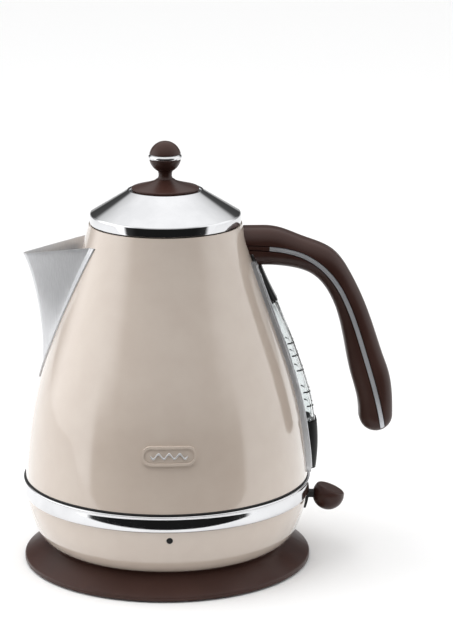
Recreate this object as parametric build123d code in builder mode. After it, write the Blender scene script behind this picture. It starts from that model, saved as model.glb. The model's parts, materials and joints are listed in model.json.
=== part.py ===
from build123d import *

import os
from math import cos, radians, sin, sqrt, tan

# Electric kettle on a separate round power base.
# Millimetres. +Z is up, z = 0 is the table, and Z is the axis on which the jug turns on its base.
# The spout points to -X and the handle, water gauge and switch lever are at +X.

os.makedirs("parts", exist_ok=True)

# ---- driving dimensions -------------------------------------------------------------------

FIT = 0.05  # radial running clearance of the lever on its pin
GAP = 0.3  # smallest gap between pieces on different bodies

# Power base
BASE_R = 90.0
BASE_WALL = 2.2
RIM_LOW = 1.2
RIM_TOP = 3.6
STEP_FOOT_R = 73.2
STEP_FOOT_Z = 13.2
STEP_TOP_R = 69.0
STEP_TOP_Z = 23.0
PLATEAU_R = 45.0
PLATEAU_Z = 26.5
HUMP_R = 31.0
HUMP_Z = 31.4
COLLAR_HOLE_R = 18.2
COLLAR_HOLE_Z = 35.6
PLATE_R = 85.4
PLATE_LOW = 1.6
PLATE_TOP = 3.6
FOOT_R = 6.0
FOOT_CIRCLE_R = 74.0
BASE_SCREW_CIRCLE_R = 60.0
TOWER_SCREW_CIRCLE_R = 19.0

# Cord gland in the rim, at the side away from the badge
GLAND_R = 4.7
GLAND_BORE_R = 3.2
GLAND_Z = 5.2
GLAND_START = 74.0
GLAND_LENGTH = 15.6

# Contact tower and swivel collar
TOWER_R = 13.8
TOWER_TOP = 47.5
TOWER_FLANGE_R = 24.0
COLLAR_BORE_R = 14.15
COLLAR_LOW_R = 17.6
COLLAR_HIGH_R = 15.1
COLLAR_TOP = 41.0

# Jug body: outer line of the bell, radius and height
BELL = (
    (88.6, 55.6),
    (87.2, 74.0),
    (82.0, 105.0),
    (68.2, 150.0),
    (57.8, 180.0),
    (49.9, 205.0),
    (47.2, 214.4),
)
SHELL_WALL = 1.0
MOUTH_R = 45.0
JUG_LOW = 14.5
SKIRT = ((75.2, 14.5), (80.2, 18.6), (84.2, 26.5), (86.7, 34.5), (88.0, 43.6))
SKIRT_WALL = 1.2
RING_LOW = 43.6
RING_TOP = 54.4
RING_R = 90.0
RING_BORE_R = 85.6
GASKET_R = 88.9
BELL_LOW = 55.6
HEATER_TOP = 56.8
POST_CIRCLE_R = 62.0
PILOT_Z = 38.6

# Badge on the bell
BADGE_Z = 90.8
BADGE_WIDTH = 33.0
BADGE_HEIGHT = 11.5
BADGE_BORDER = 1.5

# Spout: height, ridge distance, nose radius and half angle of each level section
SPOUT_SECTIONS = (
    (117.0, 76.6, 1.6, 55.0),
    (134.0, 76.5, 2.2, 45.0),
    (150.0, 77.1, 2.7, 35.0),
    (166.0, 79.2, 3.1, 28.0),
    (182.0, 82.6, 3.5, 25.0),
    (206.0, 93.6, 4.0, 22.0),
)
SPOUT_SHEET = 0.9
SPOUT_ROOT_Z = 203.5
SPOUT_TIP_Z = 196.0
SPOUT_TIP_X = -88.4
SPOUT_ROOT_X = -46.0
FLANGE_HALF_TOP = 26.0
FLANGE_LOW = 117.5

# Handle, seen from the side
HANDLE_OUTER = (
    (60.4, 211.6),
    (84.3, 204.9),
    (103.5, 196.2),
    (114.8, 181.1),
    (125.2, 158.6),
    (134.7, 130.6),
    (141.4, 91.5),
)
HANDLE_INNER = (
    (120.4, 91.5),
    (115.2, 117.0),
    (109.8, 143.0),
    (102.3, 167.1),
    (89.8, 182.4),
    (72.0, 187.6),
    (59.0, 188.4),
)
HANDLE_MID = (
    (40.0, 200.4),
    (66.7, 199.4),
    (86.0, 194.2),
    (103.3, 179.4),
    (111.7, 164.3),
    (122.1, 134.2),
    (131.5, 100.8),
    (136.4, 72.0),
)
HANDLE_HALF = 12.0
STRIP_WIDTH = 2.6
STRIP_GROOVE = 3.6
STRIP_DEPTH = 3.0
STRIP_SINK = 0.35

# Water gauge at +X
GAUGE_HALF = 9.6
GAUGE_LOW = 58.0
GAUGE_TOP = 188.0
LENS_LOW = 88.8
LENS_TOP = 166.0
LENS_WALL = 2.0
FRAME_HALF = 15.0
FRAME_PROUD = 2.4
FRAME_TOP = 197.0

# Lid
LID_LOW = 214.9
LID_BAND_TOP = 220.6
LID_BAND_R = 46.6
LID_CONE_TOP_R = 22.8
LID_CONE_TOP_Z = 235.4
LID_SHEET = 1.0
PLUG_R = 43.2
PLUG_LOW = 205.5
CAP_R = 20.8
CAP_Z = 236.6
STEM_R = 4.1
BALL_R = 9.8
BALL_Z = 255.5
BALL_BAND = 3.2

# Switch lever
PIVOT_X = 80.0
PIVOT_Z = 39.0
PIN_R = 1.5
ARM_HALF_WIDTH = 3.0
ARM_THICK = 4.0
KNOB_X = 102.0
KNOB_Z = 38.2
KNOB_R = 10.0


def save(part, name):
    """Label one finished piece and write it."""
    part.label = name
    export_step(part, f"parts/{name}.step")


# ---- shared sections ----------------------------------------------------------------------


# Walls that get cut at the spout, gauge or lever are turned from their section at +Y, so that the
# seam of the turned face lies where nothing is cut.


def bell_band(inner, outer):
    """Upright section between the bell line shifted out by inner and by outer."""
    with BuildSketch(Plane.YZ) as band:
        with BuildLine():
            near = Spline(*[(r + inner, z) for r, z in BELL])
            far = Spline(*[(r + outer, z) for r, z in BELL])
            Line(near @ 0, far @ 0)
            Line(near @ 1, far @ 1)
        make_face()
    return band.sketch


def bell_inside(shift):
    """Upright half section of everything inside the bell line shifted out by shift."""
    with BuildSketch(Plane.YZ) as inside:
        with BuildLine():
            wall = Spline(*[(r + shift, z) for r, z in BELL])
            Polyline(wall @ 1, (0, BELL[-1][1]), (0, BELL[0][1]), wall @ 0)
        make_face()
    return inside.sketch


def crown_line(lift):
    """Radius and height along the base's top, from the step to the collar hole, raised by lift."""
    return [
        (STEP_TOP_R, STEP_TOP_Z + lift),
        (PLATEAU_R, PLATEAU_Z + lift),
        (HUMP_R, HUMP_Z + lift),
        (COLLAR_HOLE_R, COLLAR_HOLE_Z + lift),
    ]


def side_outline(half_top, half_low, top, low):
    """Upright four-sided sketch seen along X, symmetric about the kettle's middle plane."""
    with BuildSketch(Plane.YZ) as outline:
        with BuildLine():
            Polyline((-half_low, low), (half_low, low), (half_top, top), (-half_top, top), close=True)
        make_face()
    return outline.sketch


def slot_outline(half_width, low, top, corner):
    """Upright rounded rectangle seen along X."""
    with BuildSketch(Plane.YZ) as outline:
        with Locations((0, (low + top) / 2)):
            RectangleRounded(2 * half_width, top - low, corner)
    return outline.sketch


def badge_outline(width, height):
    """Upright rounded bar seen along Y, at the badge."""
    with BuildSketch(Plane.XZ) as outline:
        with Locations((0, BADGE_Z)):
            SlotOverall(width, height)
    return outline.sketch


# ---- power base ---------------------------------------------------------------------------

foot_angles = (45, 135, 225, 315)
screw_angles = (0, 90, 180, 270)

with BuildPart() as base_top_cover:
    with BuildSketch(Plane.XZ) as cover_section:
        with BuildLine():
            crown = crown_line(0)
            Polyline((BASE_R, RIM_LOW), (BASE_R, RIM_TOP), (STEP_FOOT_R, STEP_FOOT_Z), crown[0], crown[1])
            ThreePointArc(crown[1], crown[2], crown[3])
            under = crown_line(-BASE_WALL)
            Line(crown[3], under[3])
            ThreePointArc(under[3], under[2], under[1])
            Polyline(
                under[1],
                (STEP_TOP_R - BASE_WALL, STEP_TOP_Z - BASE_WALL),
                (STEP_FOOT_R - BASE_WALL, STEP_FOOT_Z - BASE_WALL / 2),
                (BASE_R - BASE_WALL - 1.0, RIM_TOP - 0.6),
                (BASE_R - BASE_WALL, RIM_LOW),
                (BASE_R, RIM_LOW),
            )
        make_face()
        outer_corners = cover_section.vertices().sort_by_distance((BASE_R, RIM_TOP))
        fillet(outer_corners[0], 1.6)
        foot_corner = cover_section.vertices().sort_by_distance((STEP_FOOT_R, STEP_FOOT_Z))
        fillet(foot_corner[0], 2.5)
        top_corner = cover_section.vertices().sort_by_distance((STEP_TOP_R, STEP_TOP_Z))
        fillet(top_corner[0], 2.6)
    revolve(axis=Axis.Z)
    # Bosses for the screws that hold the bottom plate
    with BuildSketch(Plane.XY.offset(PLATE_TOP)):
        with PolarLocations(BASE_SCREW_CIRCLE_R, len(screw_angles)):
            Circle(4.0)
            Circle(1.5, mode=Mode.SUBTRACT)
    extrude(amount=STEP_TOP_Z - BASE_WALL - PLATE_TOP + 0.5)
    # Way out for the cord gland
    with BuildSketch(Plane.XZ.offset(-GLAND_START)):
        with Locations((0, GLAND_Z)):
            Circle(GLAND_R)
        with Locations((0, GLAND_Z / 2)):
            Rectangle(2 * GLAND_R, GLAND_Z)
    extrude(amount=-(BASE_R - GLAND_START + 1), mode=Mode.SUBTRACT)
save(base_top_cover.part, "base_top_cover")

with BuildPart() as base_bottom_plate:
    with BuildSketch(Plane.XY.offset(PLATE_LOW)):
        Circle(PLATE_R)
        with PolarLocations(FOOT_CIRCLE_R, len(foot_angles), start_angle=foot_angles[0]):
            Circle(3.0, mode=Mode.SUBTRACT)
        with PolarLocations(BASE_SCREW_CIRCLE_R, len(screw_angles)):
            Circle(1.6, mode=Mode.SUBTRACT)
    extrude(amount=PLATE_TOP - PLATE_LOW)
    # Stiffening rings and the floor under the tower
    with BuildSketch(Plane.XY.offset(PLATE_TOP)):
        for ring_r in (30.0, 50.0):
            Circle(ring_r + 0.8)
            Circle(ring_r - 0.8, mode=Mode.SUBTRACT)
        Circle(TOWER_FLANGE_R)
        with PolarLocations(TOWER_SCREW_CIRCLE_R, 3):
            Circle(1.5, mode=Mode.SUBTRACT)
    extrude(amount=3.0)
    # Wells for the screw heads, and the cord gland's seat
    with BuildSketch(Plane.XY.offset(PLATE_LOW)):
        with PolarLocations(BASE_SCREW_CIRCLE_R, len(screw_angles)):
            Circle(3.2)
    extrude(amount=1.0, mode=Mode.SUBTRACT)
    with BuildSketch(Plane.XZ.offset(-GLAND_START)):
        with Locations((0, GLAND_Z)):
            Circle(GLAND_R)
        with Locations((0, 0)):
            Rectangle(2 * GLAND_R, 2 * GLAND_Z)
    extrude(amount=-GLAND_LENGTH, mode=Mode.SUBTRACT)
save(base_bottom_plate.part, "base_bottom_plate")

with BuildPart() as base_feet:
    with BuildSketch(Plane.XY):
        with PolarLocations(FOOT_CIRCLE_R, len(foot_angles), start_angle=foot_angles[0]):
            Circle(FOOT_R)
    extrude(amount=PLATE_LOW)
    with BuildSketch(Plane.XY.offset(PLATE_LOW)):
        with PolarLocations(FOOT_CIRCLE_R, len(foot_angles), start_angle=foot_angles[0]):
            Circle(2.9)
    extrude(amount=PLATE_TOP - PLATE_LOW)
    fillet(base_feet.edges().filter_by(Plane.XY).group_by(Axis.Z)[0], 0.4)
save(base_feet.part, "base_feet")

with BuildPart() as base_screws:
    with BuildSketch(Plane.XY.offset(PLATE_LOW + 0.1)):
        with PolarLocations(BASE_SCREW_CIRCLE_R, len(screw_angles)):
            Circle(2.9)
    extrude(amount=0.9)
    with BuildSketch(Plane.XY.offset(PLATE_LOW + 1.0)):
        with PolarLocations(BASE_SCREW_CIRCLE_R, len(screw_angles)):
            Circle(1.5)
    extrude(amount=12.0)
    with BuildSketch(Plane.XY.offset(PLATE_LOW + 0.1)):
        with PolarLocations(BASE_SCREW_CIRCLE_R, len(screw_angles)):
            Rectangle(3.6, 0.7)
            Rectangle(0.7, 3.6)
    extrude(amount=0.5, mode=Mode.SUBTRACT)
save(base_screws.part, "base_screws")

with BuildPart() as cord_gland:
    with BuildSketch(Plane.XZ.offset(-GLAND_START)):
        with Locations((0, GLAND_Z)):
            Circle(GLAND_R - 0.05)
            Circle(GLAND_BORE_R, mode=Mode.SUBTRACT)
    extrude(amount=-GLAND_LENGTH)
save(cord_gland.part, "cord_gland")

# The tower stands on the bottom plate and comes up through the collar.
TOWER_LOW = PLATE_TOP + 3.0
with BuildPart() as contact_tower:
    with BuildSketch(Plane.XZ):
        with BuildLine():
            Polyline(
                (TOWER_R, TOWER_LOW + 2.0),
                (TOWER_R, TOWER_TOP - 1.0),
                (TOWER_R - 1.0, TOWER_TOP),
                (8.2, TOWER_TOP),
                (8.2, TOWER_TOP - 1.4),
                (7.4, TOWER_TOP - 1.4),
                (7.4, TOWER_TOP - 9.0),
                (5.6, TOWER_TOP - 9.0),
                (5.6, TOWER_TOP - 0.7),
                (3.0, TOWER_TOP - 0.7),
                (3.0, TOWER_TOP - 11.0),
                (0.0, TOWER_TOP - 11.0),
                (0.0, TOWER_TOP - 13.0),
                (TOWER_R - 2.0, TOWER_TOP - 13.0),
                (TOWER_R - 2.0, TOWER_LOW),
                (TOWER_FLANGE_R, TOWER_LOW),
                (TOWER_FLANGE_R, TOWER_LOW + 2.0),
                close=True,
            )
        make_face()
    revolve(axis=Axis.Z)
    # Small flats around the top edge, and holes for its screws
    with BuildSketch(Plane.XY.offset(TOWER_TOP - 2.4)):
        Circle(TOWER_R + 1.0)
        RegularPolygon(TOWER_R - 0.35, 12, major_radius=False, mode=Mode.SUBTRACT)
    extrude(amount=2.4, mode=Mode.SUBTRACT)
    with BuildSketch(Plane.XY.offset(TOWER_LOW)):
        with PolarLocations(TOWER_SCREW_CIRCLE_R, 3):
            Circle(1.6)
    extrude(amount=2.0, mode=Mode.SUBTRACT)
save(contact_tower.part, "contact_tower")

with BuildPart() as tower_contacts:
    # Live ring deep in the outer groove
    with BuildSketch(Plane.XY.offset(TOWER_TOP - 9.0)):
        Circle(7.4)
        Circle(6.9, mode=Mode.SUBTRACT)
    extrude(amount=6.0)
save(tower_contacts.part, "tower_contacts")

with BuildPart() as tower_centre_contact:
    with BuildSketch(Plane.XY.offset(TOWER_TOP - 11.0)):
        Circle(3.0)
        Circle(2.3, mode=Mode.SUBTRACT)
    extrude(amount=9.0)
save(tower_centre_contact.part, "tower_centre_contact")

with BuildPart() as tower_screws:
    with BuildSketch(Plane.XY.offset(TOWER_LOW + 2.0)):
        with PolarLocations(TOWER_SCREW_CIRCLE_R, 3):
            Circle(3.0)
    extrude(amount=1.6)
    with BuildSketch(Plane.XY.offset(PLATE_TOP + 0.4)):
        with PolarLocations(TOWER_SCREW_CIRCLE_R, 3):
            Circle(1.5)
    extrude(amount=TOWER_LOW + 2.0 - PLATE_TOP - 0.4)
save(tower_screws.part, "tower_screws")

# The collar turns on the tower and is kept in by a flange under the cover.
COLLAR_LOW = 31.2
with BuildPart() as swivel_collar:
    with BuildSketch(Plane.XZ):
        with BuildLine():
            Polyline(
                (COLLAR_BORE_R, COLLAR_LOW),
                (19.6, COLLAR_LOW),
                (19.6, COLLAR_LOW + 1.2),
                (COLLAR_LOW_R, COLLAR_LOW + 1.2),
                (COLLAR_LOW_R, COLLAR_HOLE_Z),
                (COLLAR_HIGH_R, COLLAR_TOP),
                (COLLAR_BORE_R, COLLAR_TOP),
                close=True,
            )
        make_face()
    revolve(axis=Axis.Z)
save(swivel_collar.part, "swivel_collar")

# ---- jug: vessel ---------------------------------------------------------------------------

GAUGE_SLOT_HALF = 4.0
with BuildPart() as jug_shell:
    revolve(bell_band(-SHELL_WALL, 0), axis=Axis.Z)
    # Rolled edge of the mouth
    with BuildSketch(Plane.XZ):
        with Locations((MOUTH_R + 1.1, BELL[-1][1] - 1.1)):
            Circle(1.1)
    revolve(axis=Axis.Z)
    # Way to the spout and way to the gauge
    extrude(side_outline(14.0, 3.0, 198.0, 136.0), amount=-100, mode=Mode.SUBTRACT)
    extrude(slot_outline(GAUGE_SLOT_HALF, 68.0, 172.0, 3.0), amount=100, mode=Mode.SUBTRACT)
save(jug_shell.part, "jug_shell")

with BuildPart() as heater_plate:
    with BuildSketch(Plane.XZ):
        with BuildLine():
            Polyline(
                (0, HEATER_TOP + 1.6),
                (66.0, HEATER_TOP + 1.6),
                (72.0, HEATER_TOP),
                (87.3, HEATER_TOP),
                (87.3, BELL_LOW),
                (70.0, BELL_LOW),
                (64.0, BELL_LOW + 1.6),
                (0, BELL_LOW + 1.6),
                close=True,
            )
        make_face()
    revolve(axis=Axis.Z)
    # Hole for the steam tube
    with BuildSketch(Plane.XY.offset(BELL_LOW - 1)):
        with Locations((75.5, 0)):
            Circle(4.9)
    extrude(amount=4, mode=Mode.SUBTRACT)
save(heater_plate.part, "heater_plate")

ELEMENT_R = 52.0
ELEMENT_TUBE_R = 3.4
ELEMENT_Z = BELL_LOW + 1.6 - 4.2
with BuildPart() as heating_element:
    with BuildSketch(Plane.XZ):
        with Locations((ELEMENT_R, ELEMENT_Z)):
            Circle(ELEMENT_TUBE_R)
        with Locations((ELEMENT_R, ELEMENT_Z + 2.1)):
            Rectangle(5.0, 4.2)
    revolve(axis=Axis.Z, revolution_arc=320)
    # Cold ends
    for turn in (0, 320):
        with BuildSketch(Plane.XY.offset(ELEMENT_Z - 8.0)):
            with Locations((ELEMENT_R * cos(radians(turn)), ELEMENT_R * sin(radians(turn)))):
                Circle(1.6)
        extrude(amount=8.0)
save(heating_element.part, "heating_element")

CONTROL_LOW = 49.0
with BuildPart() as control_unit:
    with BuildSketch(Plane.XY.offset(CONTROL_LOW)):
        RectangleRounded(58, 44, 6)
    extrude(amount=7.0)
    fillet(control_unit.edges().filter_by(Plane.XY).group_by(Axis.Z)[0], 1.0)
save(control_unit.part, "control_unit")

CONNECTOR_LOW = 37.6
CONTACT_SEAT = 0.6
with BuildPart() as jug_connector:
    with BuildSketch(Plane.XZ):
        with BuildLine():
            Polyline(
                (19.4, CONNECTOR_LOW),
                (24.0, CONNECTOR_LOW),
                (24.0, CONTROL_LOW),
                (0.0, CONTROL_LOW),
                (0.0, TOWER_TOP + 0.6),
                (14.6, TOWER_TOP + 0.6),
                (14.6, COLLAR_TOP + 1.2),
                (16.4, COLLAR_TOP + 0.8),
                close=True,
            )
        make_face()
    revolve(axis=Axis.Z)
    # Seats for the contacts
    with BuildSketch(Plane.XY.offset(TOWER_TOP + 0.6)):
        Circle(6.6)
        Circle(6.0, mode=Mode.SUBTRACT)
        Circle(1.6)
    extrude(amount=CONTACT_SEAT, mode=Mode.SUBTRACT)
save(jug_connector.part, "jug_connector")

with BuildPart() as connector_contacts:
    with BuildSketch(Plane.XY.offset(TOWER_TOP - 7.0)):
        Circle(6.6)
        Circle(6.0, mode=Mode.SUBTRACT)
        Circle(1.6)
    extrude(amount=7.0 + 0.6 + CONTACT_SEAT)
save(connector_contacts.part, "connector_contacts")

# The steam tube follows the rear wall down to the steam switch.
STEAM_FOOT = (76.0, 0, 53.4)
STEAM_LENGTH = 145.0
STEAM_LEAN = 13.0
steam_axis = (-sin(radians(STEAM_LEAN)), 0, cos(radians(STEAM_LEAN)))
with BuildPart() as steam_tube:
    with BuildSketch(Plane(STEAM_FOOT, x_dir=(0, 1, 0), z_dir=steam_axis)):
        Circle(3.6)
        Circle(2.6, mode=Mode.SUBTRACT)
    extrude(amount=STEAM_LENGTH)
save(steam_tube.part, "steam_tube")

# ---- jug: foot ------------------------------------------------------------------------------

with BuildPart() as gasket_ring:
    with BuildSketch(Plane.XY.offset(RING_TOP)):
        Circle(GASKET_R)
        Circle(RING_BORE_R, mode=Mode.SUBTRACT)
    extrude(amount=BELL_LOW - RING_TOP)
save(gasket_ring.part, "gasket_ring")

with BuildPart() as chrome_ring:
    with BuildSketch(Plane.XZ):
        with BuildLine():
            Polyline((88.6, RING_LOW), (RING_BORE_R, RING_LOW), (RING_BORE_R, RING_TOP), (89.0, RING_TOP))
            Line((89.0, RING_TOP), (RING_R, RING_TOP - 0.8))
            Line((RING_R, RING_TOP - 0.8), (RING_R - 0.5, RING_TOP - 1.8))
            ThreePointArc((RING_R - 0.5, RING_TOP - 1.8), (RING_R, RING_LOW + 5.2), (88.6, RING_LOW))
        make_face()
    revolve(axis=Axis.Z)
save(chrome_ring.part, "chrome_ring")


def lever_slot(half_width, low, top, reach):
    """Block that clears the lever's arm where it leaves the foot."""
    with BuildSketch(Plane.YZ.offset(PIVOT_X + 2)) as mouth:
        with Locations((0, (low + top) / 2)):
            Rectangle(2 * half_width, top - low)
    return extrude(mouth.sketch, amount=reach, mode=Mode.PRIVATE)


with BuildPart() as skirt_shell:
    with BuildSketch(Plane.YZ):
        with BuildLine():
            outside = Spline(*SKIRT)
            inside = Spline(*[(r - SKIRT_WALL, z) for r, z in SKIRT[:-1]], (86.8, 42.2))
            Line(outside @ 0, inside @ 0)
            Polyline(
                outside @ 1,
                (RING_BORE_R - 0.1, RING_LOW),
                (RING_BORE_R - 0.1, 50.0),
                (84.2, 50.0),
                (84.2, 42.2),
                inside @ 1,
            )
        make_face()
    revolve(axis=Axis.Z)
    add(lever_slot(ARM_HALF_WIDTH + 1.0, 33.0, 42.2, 20), mode=Mode.SUBTRACT)
    # Hole for the pilot lens, at the badge's side
    with BuildSketch(Plane.XZ.offset(70)):
        with Locations((0, PILOT_Z)):
            Circle(2.0)
    extrude(amount=30, mode=Mode.SUBTRACT)
save(skirt_shell.part, "skirt_shell")

with BuildPart() as pilot_lens:
    with BuildSketch(Plane.XZ.offset(80)):
        with Locations((0, PILOT_Z)):
            Circle(1.95)
    extrude(amount=7.9)
    fillet(pilot_lens.edges().sort_by(Axis.Y)[0], 0.8)
save(pilot_lens.part, "pilot_lens")

COVER_GAP = 1.3
COVER_WALL = 2.0
with BuildPart() as underside_cover:
    with BuildSketch(Plane.XZ):
        with BuildLine():
            low = crown_line(COVER_GAP)
            high = crown_line(COVER_GAP + COVER_WALL)
            mouth_low = (24.0, CONNECTOR_LOW - 0.4)
            mouth_high = (24.0, CONNECTOR_LOW + COVER_WALL)
            Polyline(
                (76.6, 17.6),
                (74.6, 17.6),
                (STEP_TOP_R + 2.2, STEP_TOP_Z + 0.6),
                (STEP_TOP_R - 2.0, low[0][1] + 0.4),
                low[1],
            )
            ThreePointArc(low[1], low[2], mouth_low)
            Line(mouth_low, mouth_high)
            ThreePointArc(mouth_high, high[2], high[1])
            Polyline(
                high[1],
                (STEP_TOP_R - 1.0, high[0][1] + 0.4),
                (STEP_TOP_R + 4.0, STEP_TOP_Z + 1.4),
                (77.4, 19.4),
                (76.6, 17.6),
            )
        make_face()
    revolve(axis=Axis.Z)
    # Rim on which the jug stands on its base
    with BuildSketch(Plane.XZ):
        with BuildLine():
            Polyline((58.0, 24.65 + GAP), (62.0, 24.05 + GAP), (62.0, 26.6), (58.0, 27.2), close=True)
        make_face()
    revolve(axis=Axis.Z)
    # Posts that reach up to the heater plate
    with BuildSketch(Plane.XY.offset(26.5)):
        with PolarLocations(POST_CIRCLE_R, 3, start_angle=60):
            Circle(4.0)
            Circle(1.5, mode=Mode.SUBTRACT)
    extrude(amount=BELL_LOW + 0.6 - 26.5)
    with BuildSketch(Plane.XY.offset(22)):
        with PolarLocations(POST_CIRCLE_R, 3, start_angle=60):
            Circle(1.6)
    extrude(amount=12, mode=Mode.SUBTRACT)
    with BuildSketch(Plane.XY.offset(22)):
        with PolarLocations(POST_CIRCLE_R, 3, start_angle=60):
            Circle(3.1)
    extrude(amount=4.6, mode=Mode.SUBTRACT)
save(underside_cover.part, "underside_cover")

with BuildPart() as underside_screws:
    with BuildSketch(Plane.XY.offset(25.2)):
        with PolarLocations(POST_CIRCLE_R, 3, start_angle=60):
            Circle(3.0)
    extrude(amount=1.4)
    with BuildSketch(Plane.XY.offset(26.6)):
        with PolarLocations(POST_CIRCLE_R, 3, start_angle=60):
            Circle(1.5)
    extrude(amount=18)
save(underside_screws.part, "underside_screws")

# ---- jug: switch lever's fixed pieces -------------------------------------------------------

SWITCH_LOW = 44.6
EAR_INNER = ARM_HALF_WIDTH + 0.4
EAR_OUTER = EAR_INNER + 2.2
with BuildPart() as steam_switch:
    with BuildSketch(Plane.XY.offset(SWITCH_LOW)):
        with Locations((73.0, 0)):
            RectangleRounded(17, 26, 2)
    extrude(amount=8.0)
    # Ears that hold the lever's pin
    for side in (-1, 1):
        with BuildSketch(Plane.XZ.offset(side * (EAR_INNER + EAR_OUTER) / 2)):
            with Locations((PIVOT_X - 1.5, (PIVOT_Z + SWITCH_LOW) / 2 + 0.1)):
                Rectangle(6.0, SWITCH_LOW - PIVOT_Z + 0.2)
            with Locations((PIVOT_X, PIVOT_Z)):
                Circle(3.2)
                Circle(PIN_R, mode=Mode.SUBTRACT)
        extrude(amount=(EAR_OUTER - EAR_INNER) / 2, both=True)
    with BuildSketch(Plane.XZ):
        with Locations((PIVOT_X, PIVOT_Z)):
            Circle(PIN_R)
    extrude(amount=12, both=True, mode=Mode.SUBTRACT)
save(steam_switch.part, "steam_switch")

with BuildPart() as lever_pivot_pin:
    with BuildSketch(Plane.XZ):
        with Locations((PIVOT_X, PIVOT_Z)):
            Circle(PIN_R)
    extrude(amount=EAR_OUTER + 0.6, both=True)
save(lever_pivot_pin.part, "lever_pivot_pin")

with BuildPart() as lever_escutcheon:
    with BuildSketch(Plane.YZ):
        with BuildLine():
            near = Spline(*[(r, z) for r, z in SKIRT[1:]])
            far = Spline(*[(r + 1.8, z) for r, z in SKIRT[1:]])
            Line(near @ 0, far @ 0)
            Line(near @ 1, far @ 1)
        make_face()
    revolve(axis=Axis.Z)
    with BuildSketch(Plane.YZ):
        with BuildLine():
            Polyline((-9.5, 43.5), (9.5, 43.5), (4.6, 30.6), (-4.6, 30.6), close=True)
        make_face()
    extrude(amount=100, mode=Mode.INTERSECT)
    add(lever_slot(ARM_HALF_WIDTH + 0.5, 33.0, 42.2, 20), mode=Mode.SUBTRACT)
save(lever_escutcheon.part, "lever_escutcheon")

# ---- jug: badge -----------------------------------------------------------------------------

# The field that is sunk inside the badge's border
with BuildPart() as badge_field:
    revolve(bell_band(0.8, 3.0), axis=Axis.Z)
    extrude(
        badge_outline(BADGE_WIDTH - 2 * BADGE_BORDER, BADGE_HEIGHT - 2 * BADGE_BORDER),
        amount=100,
        mode=Mode.INTERSECT,
    )

with BuildPart() as badge_plate:
    revolve(bell_band(0, 1.5), axis=Axis.Z)
    extrude(badge_outline(BADGE_WIDTH, BADGE_HEIGHT), amount=100, mode=Mode.INTERSECT)
    add(badge_field.part, mode=Mode.SUBTRACT)
save(badge_plate.part, "badge_plate")

# ---- jug: spout and filter --------------------------------------------------------------------


def spout_section(height, ridge, nose, half_angle, sheet):
    """Level section of the spout: two straight sides that meet in a round nose, drawn in by sheet."""
    tilt = radians(half_angle)
    centre_x = nose - ridge
    radius = nose - sheet
    touch_x = centre_x - radius * sin(tilt)
    touch_y = radius * cos(tilt)
    back_x = -34.0
    back_y = touch_y + (back_x - touch_x) * tan(tilt)
    with BuildSketch(Plane.XY.offset(height)) as section:
        with BuildLine():
            Line((back_x, back_y), (touch_x, touch_y))
            ThreePointArc((touch_x, touch_y), (centre_x - radius, 0), (touch_x, -touch_y))
            Line((touch_x, -touch_y), (back_x, -back_y))
            Line((back_x, -back_y), (back_x, back_y))
        make_face()
    return section.sketch


# Everything above the spout's sloping rim
with BuildPart() as above_rim:
    with BuildSketch(Plane.XZ):
        with BuildLine():
            slope = (SPOUT_ROOT_Z - SPOUT_TIP_Z) / (SPOUT_ROOT_X - SPOUT_TIP_X)
            Polyline(
                (0, SPOUT_ROOT_Z - slope * SPOUT_ROOT_X),
                (-100, SPOUT_TIP_Z + slope * (-100 - SPOUT_TIP_X)),
                (-100, 230),
                (0, 230),
                close=True,
            )
        make_face()
    extrude(amount=60, both=True)

with BuildPart() as spout_inside:
    loft([spout_section(*row, SPOUT_SHEET) for row in SPOUT_SECTIONS], ruled=False)

with BuildPart() as spout_flange:
    revolve(bell_band(0, SPOUT_SHEET), axis=Axis.Z)
    flange = side_outline(FLANGE_HALF_TOP, 1.5, SPOUT_ROOT_Z + 0.5, FLANGE_LOW)
    extrude(flange, amount=-100, mode=Mode.INTERSECT)

with BuildPart() as spout:
    loft([spout_section(*row, 0.0) for row in SPOUT_SECTIONS], ruled=False)
    revolve(bell_inside(0), axis=Axis.Z, mode=Mode.SUBTRACT)
    add(spout_flange.part)
    add(above_rim.part, mode=Mode.SUBTRACT)
    add(spout_inside.part, mode=Mode.SUBTRACT)
save(spout.part, "spout")

with BuildPart() as filter_frame:
    revolve(bell_band(-SHELL_WALL - 2.6, -SHELL_WALL), axis=Axis.Z)
    extrude(side_outline(17.0, 6.0, 202.0, 132.0), amount=-100, mode=Mode.INTERSECT)
    extrude(side_outline(14.0, 3.0, 198.0, 136.0), amount=-100, mode=Mode.SUBTRACT)
save(filter_frame.part, "filter_frame")

with BuildPart() as filter_mesh:
    revolve(bell_band(-SHELL_WALL - 1.5, -SHELL_WALL - 1.1), axis=Axis.Z)
    extrude(side_outline(13.9, 2.95, 197.9, 136.1), amount=-100, mode=Mode.INTERSECT)
save(filter_mesh.part, "filter_mesh")

# ---- jug: water gauge -------------------------------------------------------------------------

with BuildPart() as window_frame:
    revolve(bell_band(0, FRAME_PROUD), axis=Axis.Z)
    extrude(slot_outline(FRAME_HALF, 56.4, FRAME_TOP, 5.0), amount=100, mode=Mode.INTERSECT)
    gauge_opening = slot_outline(GAUGE_HALF + 0.2, GAUGE_LOW - 0.2, GAUGE_TOP + 0.2, 0.2)
    extrude(gauge_opening, amount=100, mode=Mode.SUBTRACT)
save(window_frame.part, "window_frame")

SEAL_THICK = 0.8
with BuildPart() as window_seal:
    revolve(bell_band(0, SEAL_THICK), axis=Axis.Z)
    extrude(slot_outline(GAUGE_HALF, GAUGE_LOW, GAUGE_TOP, 2.0), amount=100, mode=Mode.INTERSECT)
    extrude(slot_outline(GAUGE_SLOT_HALF + 1.0, 66.0, 174.0, 3.0), amount=100, mode=Mode.SUBTRACT)
save(window_seal.part, "window_seal")


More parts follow.
